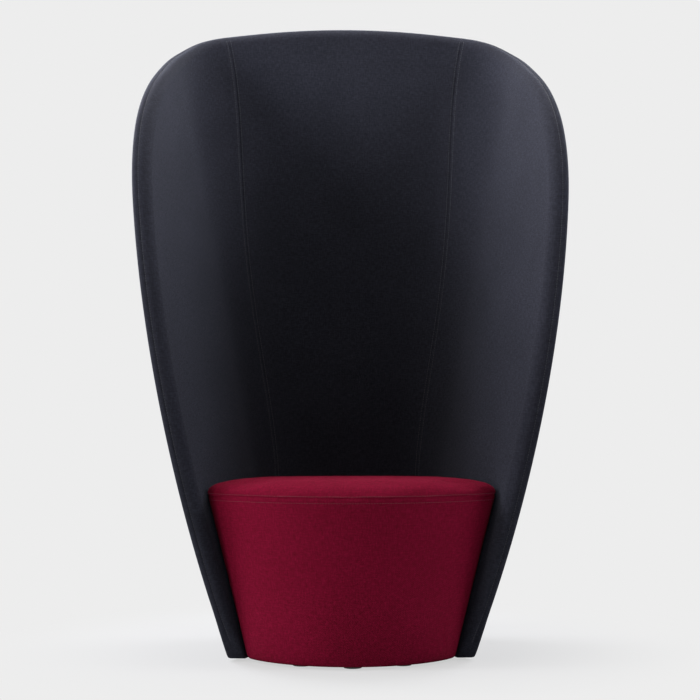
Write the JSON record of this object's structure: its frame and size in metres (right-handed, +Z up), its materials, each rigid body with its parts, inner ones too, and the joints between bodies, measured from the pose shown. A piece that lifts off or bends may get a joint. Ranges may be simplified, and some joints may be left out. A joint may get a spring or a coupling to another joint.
{
  "type": "acoustic high back lounge chair",
  "caption": "Upholstered lounge chair with a tall wrap-round acoustic shell flared into side wings, a crowned seat on a bowed drum base, and levelling glides.",
  "frame": {"origin": "on the floor, under the middle of the chair's bounding box", "axes": "+Z up, the chair faces -Y, +X to the right as seen from the front of the chair"},
  "size_m": [0.9504, 0.751, 1.44],
  "materials": {
    "core_plywood": "bare moulded plywood",
    "birch_plywood": "bare birch plywood",
    "beech": "planed beech",
    "foam": "cold-cure polyurethane foam",
    "charcoal_wool": "fine felted charcoal wool",
    "wine_wool": "fine felted wine-red wool",
    "webbing": "elastic webbing",
    "dust_cloth": "black non-woven cloth",
    "zinc_steel": "zinc-plated steel",
    "glide_nylon": "black nylon"
  },
  "bodies": {
    "chair": {"back_inner_cover": "charcoal_wool", "glide_tee_nuts": "zinc_steel", "left_wing_inner_cover": "charcoal_wool", "right_wing_inner_cover": "charcoal_wool", "seat_back_wall": "birch_plywood", "seat_base_plate": "birch_plywood", "seat_bottom_cloth": "dust_cloth", "seat_cushion": "foam", "seat_front_cover": "wine_wool", "seat_front_pad": "foam", "seat_front_wall": "birch_plywood", "seat_post_front_left": "beech", "seat_post_front_right": "beech", "seat_post_rear_left": "beech", "seat_post_rear_right": "beech", "seat_top_cover": "wine_wool", "seat_top_frame": "birch_plywood", "shell_bolts": "zinc_steel", "shell_core": "core_plywood", "shell_inner_foam": "foam", "shell_outer_cover": "charcoal_wool", "shell_outer_foam": "foam", "shell_tee_nuts": "zinc_steel", "webbing_cross_1": "webbing", "webbing_cross_2": "webbing", "webbing_cross_3": "webbing", "webbing_long_1": "webbing", "webbing_long_2": "webbing", "webbing_long_3": "webbing", "webbing_long_4": "webbing"},
    "glide_front": {"glide_foot_front": "glide_nylon", "glide_stud_front": "zinc_steel"},
    "glide_front_right": {"glide_foot_front_right": "glide_nylon", "glide_stud_front_right": "zinc_steel"},
    "glide_front_left": {"glide_foot_front_left": "glide_nylon", "glide_stud_front_left": "zinc_steel"},
    "glide_side_right": {"glide_foot_side_right": "glide_nylon", "glide_stud_side_right": "zinc_steel"},
    "glide_side_left": {"glide_foot_side_left": "glide_nylon", "glide_stud_side_left": "zinc_steel"},
    "glide_rear_right": {"glide_foot_rear_right": "glide_nylon", "glide_stud_rear_right": "zinc_steel"},
    "glide_rear_left": {"glide_foot_rear_left": "glide_nylon", "glide_stud_rear_left": "zinc_steel"}
  },
  "joints": [
    {"name": "glide_front_screw", "type": "slide", "parent": "chair", "child": "glide_front", "axis": [0, 0, -1], "range_m": [0, 0.008]},
    {"name": "glide_front_right_screw", "type": "slide", "parent": "chair", "child": "glide_front_right", "axis": [0, 0, -1], "range_m": [0, 0.008]},
    {"name": "glide_front_left_screw", "type": "slide", "parent": "chair", "child": "glide_front_left", "axis": [0, 0, -1], "range_m": [0, 0.008]},
    {"name": "glide_side_right_screw", "type": "slide", "parent": "chair", "child": "glide_side_right", "axis": [0, 0, -1], "range_m": [0, 0.008]},
    {"name": "glide_side_left_screw", "type": "slide", "parent": "chair", "child": "glide_side_left", "axis": [0, 0, -1], "range_m": [0, 0.008]},
    {"name": "glide_rear_right_screw", "type": "slide", "parent": "chair", "child": "glide_rear_right", "axis": [0, 0, -1], "range_m": [0, 0.008]},
    {"name": "glide_rear_left_screw", "type": "slide", "parent": "chair", "child": "glide_rear_left", "axis": [0, 0, -1], "range_m": [0, 0.008]}
  ]
}
